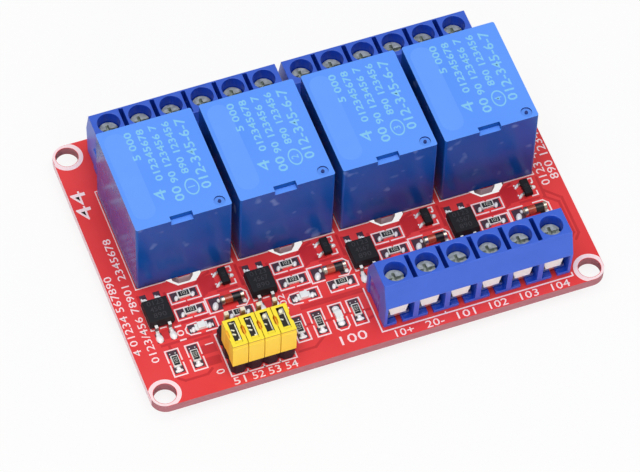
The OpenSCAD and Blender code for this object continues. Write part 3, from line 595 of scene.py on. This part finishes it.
def buildSilkscreen():
    bm = bmesh.new()
    for sx in (-1, 1):
        for sy in (-1, 1):
            addHoleRing(bm, sx, sy)
    front = relay["front"] + silk["frontInset"]
    for x in relay["x"]:
        left, right = x - silk["left"], x + silk["right"]
        addSilk(bm, [(left, front), (left + silk["fromLeft"], front)])
        addSilk(bm, [(right, front), (right - silk["fromRight"], front)])
        addPath(bm, [(left, front), (left, silk["back"]), (right, silk["back"]), (right, front)],
                silk["fine"], board["top"], silk["height"] - silk["fineDrop"])
        for cy in silk["pairY"]:
            addBrackets(bm, x + silk["pairX"], cy, silk["pair"])
        addBrackets(bm, x + silk["singleX"], silk["singleY"], silk["single"])
        for points in silk["channel"]:
            addSilk(bm, [(x + dx, y) for dx, y in points])
    for cx, cy in silk["uprights"]:
        addBrackets(bm, cx, cy, silk["upright"], upright=True)
    for points in silk["front"]:
        addSilk(bm, points)
    addLabels(bm)
    newPiece("silkscreen", bm, silkWhite)


# darker lines where bare laminate shows through the mask between the copper areas, and darker
# patches near the parts that are painted shade
# each path and patch is a hair higher than the last, so that none shares a plane with another
traces = {"height": 0.004, "width": 0.42, "pathStep": 0.00004, "patchStep": 0.0001,
          "patchHeight": 0.004, "channelPatchHeight": 0.003,
          "channel": [((1.4, -8.3), (2.1, -7.9), (2.9, -6.2), (3.8, -5.7)),
                      ((-3.2, -8.7), (0.9, -8.7)), ((-3.9, -5.9), (-3.9, -11.5)),
                      ((-6.9, -12.4), (-5.2, -12.4)), ((-6.9, -13.2), (-5.3, -13.2)),
                      ((1.0, -5.9), (2.0, -5.0), (3.6, -4.4)), ((7.85, -4.6), (7.85, -8.2)),
                      ((-3.1, -11.75), (0.8, -11.75)), ((3.9, -8.2), (6.8, -8.2)),
                      ((-7.9, -5.2), (-7.9, -6.6))],
          "front": [((-31.6, -14.7), (-23.9, -14.7)), ((-26.6, -15.4), (-24.4, -15.4)),
                    ((-26.3, -17.4), (-24.3, -17.4)), ((-31.2, -20.9), (-30.3, -21.6),
                                                       (-26.8, -21.6), (-25.9, -20.9)),
                    ((-26.2, -19.2), (-24.2, -19.2)), ((-26.5, -20.1), (-24.6, -20.1)),
                    ((-12.6, -22.4), (-10.0, -22.4), (-8.4, -21.2)), ((-9.6, -14.9), (0.1, -14.9)),
                    ((-9.6, -15.35), (0.1, -15.35)), ((-10.0, -18.3), (-9.2, -18.3)),
                    ((-6.9, -18.6), (-5.9, -18.6)), ((-3.7, -18.3), (-3.1, -18.3)),
                    ((-0.8, -18.7), (0.2, -18.7)), ((-1.4, -20.6), (0.2, -20.0)),
                    ((-30.6, -14.7), (-30.6, -15.6)),
                    ((32.6, -7.0), (34.9, -9.3), (34.9, -16.2), (34.1, -17.2)),
                    ((32.4, -8.3), (34.2, -9.9), (34.2, -15.9), (33.2, -17.0))],
          "shadePatches": [(-25.2, -17.4, 2.4, 1.6), (-25.4, -19.6, 2.6, 1.5), (-30.3, -12.9, 1.2, 1.7),
                      (-13.9, -12.9, 1.0, 1.4)],
          "channelShadePatches": [(2.8, -6.4, 2.5, 2.9), (-5.9, -12.9, 3.2, 1.2), (4.2, -7.4, 2.0, 0.8)]}


def buildTraces():
    bm = bmesh.new()
    paths = [[(x + px, py) for px, py in path] for x in relay["x"] for path in traces["channel"]]
    for i, path in enumerate(paths + traces["front"]):
        addPath(bm, path, traces["width"], board["top"],
                traces["height"] + traces["pathStep"] * i)
    # darker patches near the parts: painted shade
    for i, (x, y, wide, deep) in enumerate(traces["shadePatches"]):
        high = traces["patchHeight"] + traces["patchStep"] * i
        addBox(bm, (x, y, board["top"]), (wide, deep, high))
    for x in relay["x"]:
        for i, (px, py, wide, deep) in enumerate(traces["channelShadePatches"]):
            high = traces["channelPatchHeight"] + traces["patchStep"] * i
            addBox(bm, (x + px, py, board["top"]), (wide, deep, high))
    newPiece("maskGapsAndShade", bm, traceAndShadeRed)


buildTraces()
buildSilkscreen()
print("silkscreen made")


# rows are x from the relay's middle, first and last y, text and letter height
relayPrint = {"height": 0.01, "sink": 0.004, "smallBelow": 1.8, "smallWeight": 0.03,
              "rows": [(-3.05, 8.1, 13.5, "5 000", 1.1), (-1.1, 3.6, 13.5, "012345678", 1.1),
                       (0.9, 2.5, 13.6, "90 123456 7", 1.1), (2.95, 3.6, 13.6, "890 123456", 1.1),
                       (5.15, 0.0, 13.5, "012-345-6-7", 1.5), (0.65, -0.9, 1.9, "00", 1.4),
                       (-1.85, 0.1, 2.1, "4", 1.9)],
              "ovalX": 2.95, "ovalY": 1.05, "ovalInner": 0.9, "ovalOuter": 1.08,
              "ovalStretch": 1.42, "ovalDigit": 1.1,
              "paintedGlareX": -5.2, "paintedGlareY": (-0.6, 12.2), "paintedGlareRadius": 1.75, "paintedGlareHeight": 0.008}


def buildRelayPrint(number, x):
    low, high = relay["top"] - relayPrint["sink"], relayPrint["height"]
    bm = bmesh.new()
    # a paler rounded patch on the left of the top: painted glare
    addPill(bm, x + relayPrint["paintedGlareX"], *relayPrint["paintedGlareY"], relayPrint["paintedGlareRadius"], low,
            relayPrint["paintedGlareHeight"])
    newPiece("relayPaintedGlare_%d" % number, bm, coverPaintedGlare)
    bm = bmesh.new()
    for offset, y0, y1, text, letter in relayPrint["rows"]:
        weight = relayPrint["smallWeight"] if letter < relayPrint["smallBelow"] else 0.0
        addText(bm, text, (x + offset, (y0 + y1) / 2, low), letter, turn=90, thickness=high,
                span=y1 - y0, weight=weight)
    ovalX, ovalY = x + relayPrint["ovalX"], relayPrint["ovalY"]
    known = set(bm.verts)
    addRing(bm, (ovalX, 0, low), relayPrint["ovalInner"], relayPrint["ovalOuter"], high, 40)
    for vert in bm.verts:
        if vert not in known:
            vert.co.y = vert.co.y * relayPrint["ovalStretch"] + ovalY
    addText(bm, str(number), (ovalX, ovalY, low), relayPrint["ovalDigit"], turn=90, thickness=high)
    newPiece("relayPrint_%d" % number, bm, coverPrint)


# the vent sits near the cover's right front corner; its wall and pip are in shade
vent = {"fromRight": 1.6, "fromFront": 1.2, "reach": 1.0, "pip": 0.3, "bottom": 16.5}


def paintVent(piece, x):
    piece.data.materials.append(ventShade)
    ventX = x + relay["width"] / 2 - vent["fromRight"]
    ventY = relay["front"] + vent["fromFront"]
    for face in piece.data.polygons:
        fx, fy, fz = (value / mm for value in face.center)
        away = math.hypot(fx - ventX, fy - ventY)
        wall = abs(face.normal.z) < 0.5
        if fz > vent["bottom"] and away < vent["reach"] and (wall or away < vent["pip"]):
            face.material_index = 2


for number, x in enumerate(relay["x"], 1):
    cover = roundedCopy("relay_cover_%d" % number, 0.12, coverBlue, edge=coverEdgeHighlight)
    paintVent(cover, x)
    buildRelayPrint(number, x)


# faces inside the wells, grooves and wire entries take a darker tone that is painted shade; the
# outer faces are the flat top, the two ends, the leaning front with its sloped shoulder, and the
# back
housing = {"top": 9.85, "end": 14.9, "front": 2.85, "lean": 0.08, "shoulder": 5.4,
           "shoulderFront": 3.3, "slope": 0.262, "slopeFrom": 5.5, "back": 2.45, "ledge": 3.1}


def paintInside(piece, centreX, centreY, turn):
    piece.data.materials.append(terminalPaintedShade)
    for face in piece.data.polygons:
        x = (face.center.x / mm - centreX) * turn
        y = (face.center.y / mm - centreY) * turn
        z = face.center.z / mm - board["top"]
        onShoulder = z > housing["shoulder"] and y < (
            (z - housing["slopeFrom"]) * housing["slope"] - housing["shoulderFront"])
        onFront = y < -housing["front"] - housing["lean"] * z or onShoulder
        onBack = y > housing["back"] and not (z < housing["shoulder"] and y < housing["ledge"])
        if not (z > housing["top"] or abs(x) > housing["end"] or onFront or onBack):
            face.material_index = 1


for name, centreX, centreY, turn in (
        ("input_terminal_housing", terminal["inputX"], terminal["inputY"], 1),
        ("output_terminal_housing_left", -terminal["outputX"], terminal["outputY"], -1),
        ("output_terminal_housing_right", terminal["outputX"], terminal["outputY"], -1)):
    paintInside(roundedCopy(name, 0.1, terminalBlue), centreX, centreY, turn)
print("housings made")


# clamps: nickelled screws, and white tinned guards below them
guardTop = 4.2  # above the board

for number in range(1, 19):
    name = "terminal_clamp_%d" % number
    clamp = roundedCopy(name, 0.06, screwNickel, body="clamp_%d" % number)
    clamp.data.materials.append(tongueTin)
    for face in clamp.data.polygons:
        if face.center.z / mm < board["top"] + guardTop:
            face.material_index = 1


chip = {"length": 2.0, "width": 1.15, "height": 0.4, "cap": 0.17, "glazeWidth": 0.89,
        "glazeMiddle": 0.41, "glazeHeight": 0.08, "edge": 0.03, "marks": 0.447}
resistorPlaces = []
for x in relay["x"]:
    resistorPlaces += [(x - 1.19, -7.0, 0), (x - 1.19, -10.1, 0), (x + 5.61, -12.8, 0)]
resistorPlaces += [(x, y, 90) for x, y in ((-30.6, -18.0), (-27.5, -18.0), (-11.2, -18.5),
                                           (-8.0, -18.5), (-2.0, -18.3))]
markThickness = 0.006

# pads are x, y, length, width, and mounds x, y, length, width, height, turn: each from the middle
# of its chip, and a driver chip's own place is measured from the relay's middle
solder = {"padHeight": 0.04,
          "resistor": {"reach": 1.42, "flatY": -0.05, "pad": (1.25, 1.55),
                       "flat": (-0.1, -0.3, 0.62, 1.0, 0.34, -24),
                       "near": [(0, 0.1, 0.7, 0.9, 0.36, 0), (0, -0.25, 1.3, 0.6, 0.3, 0)],
                       "far": [(-0.45, 0.1, 0.22, 0.22, 0.12, 0), (0.4, 0.1, 0.22, 0.22, 0.12, 0)]},
          "opto": {"place": (-6.115, -9.395),
                   "pads": [(-1.08, -3.85, 1.0, 1.7), (1.08, -3.85, 1.0, 1.7),
                            (-1.08, 3.5, 1.0, 1.5), (1.08, 3.5, 1.0, 1.5)],
                   "mounds": [(-1.08, -4.0, 1.15, 1.6, 0.45, 0), (1.08, -4.0, 1.15, 1.6, 0.45, 0),
                              (-1.08, -3.3, 0.7, 1.2, 0.35, 0), (1.08, -3.3, 0.7, 1.2, 0.35, 0),
                              (-1.38, 3.3, 0.4, 0.8, 0.3, 0), (0.78, 3.3, 0.4, 0.8, 0.3, 0)]},
          "diode": {"place": (5.346, -10.37),
                    "pads": [(-2.6, 0.1, 1.75, 2.3), (1.35, -0.05, 1.3, 2.2)],
                    "mounds": [(-2.75, -0.3, 0.95, 1.5, 0.5, -24), (-2.0, 0.55, 0.5, 0.7, 0.3, 0),
                               (1.75, -0.7, 0.7, 0.75, 0.4, 0), (1.9, 0.75, 0.5, 0.5, 0.3, 0)]},
          "transistor": {"place": (5.526, -6.153), "pads": [],
                         "mounds": [(-1.15, -0.95, 1.2, 0.5, 0.3, 40),
                                    (-1.5, -0.7, 0.3, 0.3, 0.12, 0),
                                    (-1.15, 0.95, 1.2, 0.5, 0.3, 40),
                                    (-1.5, 1.2, 0.3, 0.3, 0.12, 0),
                                    (1.15, 0, 0.9, 0.7, 0.35, 0),
                                    (1.3, 0.9, 0.45, 0.35, 0.12, 0)]},
          "lamp": {"place": (-0.605, -13.302),
                   "pads": [(-1.45, 0, 1.2, 1.5), (1.45, 0, 1.2, 1.5)],
                   "mounds": [(-1.3, -0.2, 0.7, 1.0, 0.4, -20), (1.3, -0.2, 0.7, 1.0, 0.4, -20),
                              (-1.75, -0.25, 0.25, 0.7, 0.2, 0), (1.75, -0.25, 0.25, 0.7, 0.2, 0)]},
          "powerLamp": {"place": (-4.9, -18.4),
                        "pads": [(0, -1.45, 1.5, 1.2), (0, 1.45, 1.5, 1.2)],
                        "mounds": [(0, -1.35, 1.15, 1.0, 0.4, 0), (0, 1.35, 1.15, 1.0, 0.4, 0)]}}


# a rounded mound of solder, low enough to hug the board
def addMound(bm, x, y, size, turn=0.0):
    made = bmesh.ops.create_uvsphere(bm, u_segments=24, v_segments=12, radius=0.5)["verts"]
    below = [vert for vert in made if vert.co.z < -0.05]  # the board hides this part
    bmesh.ops.delete(bm, geom=below, context="VERTS")
    rest = [vert for vert in made if vert.is_valid]
    bmesh.ops.transform(bm, verts=rest, matrix=Matrix.Translation((x, y, board["top"]))
                        @ Matrix.Rotation(math.radians(turn), 4, "Z")
                        @ Matrix.Diagonal((size[0], size[1], size[2] * 2, 1.0)))


def addPad(bm, x, y, size, turn=0.0):
    high = solder["padHeight"]
    addBox(bm, (x, y, board["top"] + high / 2), (*size, high), turn)


def buildResistors():
    bodies, glaze, marks = (bmesh.new() for _ in range(3))
    top = board["top"]
    for x, y, turn in resistorPlaces:
        addBox(bodies, (x, y, top + chip["height"] / 2),
               (chip["length"], chip["width"], chip["height"]), turn, chip["edge"])
        addBox(glaze, (x, y, top + chip["glazeMiddle"]),
               (chip["length"] - 2 * chip["cap"], chip["glazeWidth"], chip["glazeHeight"]),
               turn, chip["edge"])
        addText(marks, "102", (x, y, top + chip["marks"]), 0.62, turn=turn,
                thickness=markThickness, span=1.05)
    newPiece("resistorBodies", bodies, ceramicWhite)
    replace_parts(newPiece("resistorGlaze", glaze, chipBlack), "chip_resistors")
    newPiece("resistorMarks", marks, chipMark)


def addMounds(bm, x, y, mounds):
    for dx, dy, length, width, height, turn in mounds:
        addMound(bm, x + dx, y + dy, (length, width, height), turn)


def solderChip(pads, mounds, chipName, middle=0.0):
    part = solder[chipName]
    x, y = middle + part["place"][0], part["place"][1]
    for dx, dy, length, width in part["pads"]:
        addPad(pads, x + dx, y + dy, (length, width))
    addMounds(mounds, x, y, part["mounds"])


# a flat resistor has one mound on each side, and an upright one a full joint at its near end
def solderResistor(pads, mounds, x, y, turn):
    part = solder["resistor"]
    for s in (-1, 1):
        if turn == 0:
            px, py = x + s * part["reach"], y + part["flatY"]
            dx, *rest = part["flat"]
            addMounds(mounds, px, py, [(s * dx, *rest)])
        else:
            px, py = x, y + s * part["reach"]
            addMounds(mounds, px, py, part["near"] if s < 0 else part["far"])
        addPad(pads, px, py, part["pad"], turn)


def buildSolder():
    pads, mounds = bmesh.new(), bmesh.new()
    for x, y, turn in resistorPlaces:
        solderResistor(pads, mounds, x, y, turn)
    for x in relay["x"]:
        for chipName in ("opto", "diode", "transistor", "lamp"):
            solderChip(pads, mounds, chipName, x)
    solderChip(pads, mounds, "powerLamp")
    newPiece("solderPads", pads, padDarkReflection)
    newPiece("solderMounds", mounds, solderWhiteHighlight, smooth=True)


driverMark = {"optoRows": ("0123", "4567", "890"), "optoTop": 1.946, "optoFirst": 1.2,
              "optoStep": 1.15, "optoLetter": 0.85, "optoSpan": 2.6, "optoTaper": 0.3,
              "transistorTop": 0.996, "transistorLetter": 0.6,
              "bandRadius": 0.685, "bandLength": 1.3, "bandX": 0.6, "bandZ": 2.3}


def buildDriverMarks():
    marks, bands = bmesh.new(), bmesh.new()
    for x in relay["x"]:
        ox, oy = x + solder["opto"]["place"][0], solder["opto"]["place"][1]
        for row, text in enumerate(driverMark["optoRows"]):
            place = (ox, oy + driverMark["optoFirst"] - row * driverMark["optoStep"],
                     board["top"] + driverMark["optoTop"])
            addText(marks, text, place, driverMark["optoLetter"], thickness=markThickness,
                    span=driverMark["optoSpan"] - driverMark["optoTaper"] * row)
        tx, ty = x + solder["transistor"]["place"][0], solder["transistor"]["place"][1]
        addText(marks, "10", (tx, ty, board["top"] + driverMark["transistorTop"]),
                driverMark["transistorLetter"], turn=90, thickness=markThickness)
        dx, dy = x + solder["diode"]["place"][0], solder["diode"]["place"][1]
        lying = (Matrix.Translation((dx + driverMark["bandX"], dy, driverMark["bandZ"]))
                 @ Matrix.Rotation(math.radians(90), 4, "Y"))
        bmesh.ops.create_cone(bands, cap_ends=True, segments=40, radius1=driverMark["bandRadius"],
                              radius2=driverMark["bandRadius"], depth=driverMark["bandLength"],
                              matrix=lying)
    newPiece("driverMarks", marks, moldMark)
    newPiece("diodeBands", bands, chipBlack)


buildResistors()
buildSolder()
buildDriverMarks()
for name, width in (("optocouplers", 0.1), ("transistors", 0.06), ("channel_lamps", 0.07),
                    ("power_lamp", 0.07), ("header_base", 0.06), ("optocoupler_leads", 0.04),
                    ("transistor_leads", 0.04)):
    piece = roundedCopy(name, width, nodeFinish[name])
    # the leads' upward faces take the white solder as painted light, and their sides a dark tone as
    # painted shade
    if name == "optocoupler_leads":
        piece.data.materials[0] = solderWhiteHighlight
        piece.data.materials.append(leadShade)
        for face in piece.data.polygons:
            face.material_index = 0 if face.normal.z > 0.7 else 1
print("chips and solder made")


# boxes in a cap's window are x, y from its middle, length along x and y, turn, bevel; all the
# strips end at the same height
# depth holds the y, length and width of a dark plate of painted shade
contact = {"top": 8.95, "deep": 0.5, "depthZ": 8.68, "depthHeight": 0.04,
           "open": {"depth": (0, 1.09, 3.88),
                    "strips": [(0.4, -0.1, 0.15, 3.0, 0, 0.03), (-0.24, -0.3, 0.58, 0.2, -28, 0.03),
                               (-0.24, 0.45, 0.58, 0.2, -28, 0.03),
                               (0.22, -1.4, 0.4, 0.28, -12, 0.05),
                               (-0.15, 1.72, 0.4, 0.14, -12, 0.03)]},
           "closed": {"depth": (-0.55, 1.09, 2.78),
                      "strips": [(0, 1.3, 0.55, 0.6, 0, 0.08), (0.34, -0.2, 0.1, 2.1, 0, 0.03),
                                 (-0.3, -0.1, 0.46, 0.14, -28, 0.03)]}}
cap = {"ledgeY": -1.72, "ledgeZ": 8.8, "ledge": (1.09, 0.42, 0.4), "ledgeBevel": 0.05,
       "waistX": 1.06, "waistZ": 6.25, "waist": (0.27, 1.84, 4.3),
       "slotX": 0.62, "slotY": 2.05, "notchX": 0.7, "notchY": 1.2}


# walls of the slot take a dark brown that is painted shade, and the side notches a brighter orange
# that is painted light
def paintCap(piece, x, y):
    piece.data.materials.append(slotWallShade)
    piece.data.materials.append(waistPaintedLight)
    for face in piece.data.polygons:
        dx, dy = abs(face.center.x / mm - x), abs(face.center.y / mm - y)
        if abs(face.normal.z) >= 0.5:
            continue
        if dx < cap["slotX"] and dy < cap["slotY"]:
            face.material_index = 1
        elif dx > cap["notchX"] and dy < cap["notchY"]:
            face.material_index = 2


def buildJumper(number, x, kind):
    body = "jumper_%d" % number
    y = header["capY"]
    paintCap(roundedCopy("jumper_cap_%d" % number, 0.1, capYellowPaintedBands, body=body), x, y)
    strips, dark, ledge, waist = (bmesh.new() for _ in range(4))
    addBox(ledge, (x, y + cap["ledgeY"], cap["ledgeZ"]), cap["ledge"], bevel=cap["ledgeBevel"])
    # orange plates stand in the side notches: painted light where the gap is in shade
    for s in (-1, 1):
        addBox(waist, (x + s * cap["waistX"], y, cap["waistZ"]), cap["waist"])
    # a dark plate low in the window stands for the shade deep in the slot: painted shade
    dy, long, wide = contact[kind]["depth"]
    addBox(dark, (x, y + dy, contact["depthZ"]), (long, wide, contact["depthHeight"]))
    z = contact["top"] - contact["deep"] / 2
    for dx, dy, long, wide, turn, bevel in contact[kind]["strips"]:
        addBox(strips, (x + dx, y + dy, z), (long, wide, contact["deep"]), turn, bevel)
    newPiece("jumperFill_%d" % number, ledge, capYellowPaintedBands, body=body)
    newPiece("jumperWaist_%d" % number, waist, waistPaintedLight, body=body)
    newPiece("jumperSlotShade_%d" % number, dark, slotShadeSheet, body=body)
    newPiece("jumperContact_%d" % number, strips, clipCream, body=body)


for number, (x, kind) in enumerate(zip(header["x"], ("open", "open", "closed", "closed")), 1):
    buildJumper(number, x, kind)
print("jumpers made")


floorFinish = {"tone": (0.86, 0.86, 0.86, 1), "roughness": 0.8, "glow": 0.85, "size": 3.0}


# the floor keeps its shadow, and looks paler to the camera than to the part
def buildFloor():
    bm = bmesh.new()
    bmesh.ops.create_grid(bm, x_segments=1, y_segments=1, size=floorFinish["size"],
                          matrix=Matrix.Translation((0, 0, cadBox[0].z)))
    mesh = bpy.data.meshes.new("floor")
    bm.to_mesh(mesh)
    bm.free()
    material, tree, shader = newMaterial("paperFloor")
    shader.inputs["Base Color"].default_value = floorFinish["tone"]
    shader.inputs["Roughness"].default_value = floorFinish["roughness"]
    glow = addNode(tree, "ShaderNodeEmission", Color=(1, 1, 1, 1), Strength=1.0)
    path = addNode(tree, "ShaderNodeLightPath")
    mix = addNode(tree, "ShaderNodeMixShader")
    share = addMath(tree, "MULTIPLY", path.outputs["Is Camera Ray"], floorFinish["glow"])
    tree.links.new(share, mix.inputs[0])
    tree.links.new(shader.outputs[0], mix.inputs[1])
    tree.links.new(glow.outputs[0], mix.inputs[2])
    tree.links.new(mix.outputs[0], tree.nodes["Material Output"].inputs["Surface"])
    mesh.materials.append(material)
    floor = bpy.data.objects.new("floor", mesh)
    bpy.context.collection.objects.link(floor)


# pale overhead, dimmer round the middle of the sky, so that flat glossy faces keep their colour;
# lamps are place, size and power, and all of them aim just above the board
studio = {"zenith": 1.15, "middle": 0.35, "horizon": 0.65, "middleFrom": 0.45, "middleTo": 0.88,
          "aim": (0, 0, 0.01),
          "lamps": {"overhead": ((-0.05, -0.1, 0.7), (0.6, 0.6), 3.1),
                    "fillFront": ((-0.2, -0.68, 0.16), (0.35, 0.2), 1.25)}}


def addLamp(name, place, size, power):
    light = bpy.data.lights.new(name, "AREA")
    light.shape = "RECTANGLE"
    light.size, light.size_y = size
    light.energy = power
    lamp = bpy.data.objects.new(name, light)
    lamp.location = place
    aim = Vector(studio["aim"]) - Vector(place)
    lamp.rotation_euler = aim.to_track_quat("-Z", "Y").to_euler()
    bpy.context.collection.objects.link(lamp)


def grey(level):
    return (level, level, level, 1)


def buildStudio():
    world = bpy.data.worlds.new("studio")
    world.use_nodes = True
    tree = world.node_tree
    coords = addNode(tree, "ShaderNodeTexCoord")
    split = addNode(tree, "ShaderNodeSeparateXYZ", Vector=coords.outputs["Generated"])
    ramp = addNode(tree, "ShaderNodeValToRGB", Fac=split.outputs["Z"])
    stops = ramp.color_ramp.elements
    stops[0].color = grey(studio["horizon"])
    stops[1].color = grey(studio["zenith"])
    for position in (studio["middleFrom"], studio["middleTo"]):
        stops.new(position).color = grey(studio["middle"])
    tree.links.new(ramp.outputs["Color"], tree.nodes["Background"].inputs["Color"])
    bpy.context.scene.world = world
    for name, (place, size, power) in studio["lamps"].items():
        addLamp(name, place, size, power)


# the camera's place, and the directions of its right, top and back
view = {"lens": 262.75, "sensor": 36, "place": (-0.155281, -0.374236, 0.586018),
        "right": (0.93742788, -0.34728139, 0.02499227),
        "up": (0.27335759, 0.77853887, 0.56493616),
        "back": (-0.21564927, -0.52275508, 0.82475604)}


def buildCamera():
    camera = bpy.data.cameras.new("camera")
    camera.sensor_width = view["sensor"]
    camera.lens = view["lens"]
    camera.clip_start, camera.clip_end = 0.05, 10
    rig = bpy.data.objects.new("camera", camera)
    turned = Matrix((view["right"], view["up"], view["back"])).transposed().to_4x4()
    rig.matrix_world = Matrix.Translation(view["place"]) @ turned
    bpy.context.collection.objects.link(rig)
    bpy.context.scene.camera = rig


buildFloor()
buildStudio()
buildCamera()
bpy.context.scene.view_settings.view_transform = "Standard"
print("stage made")
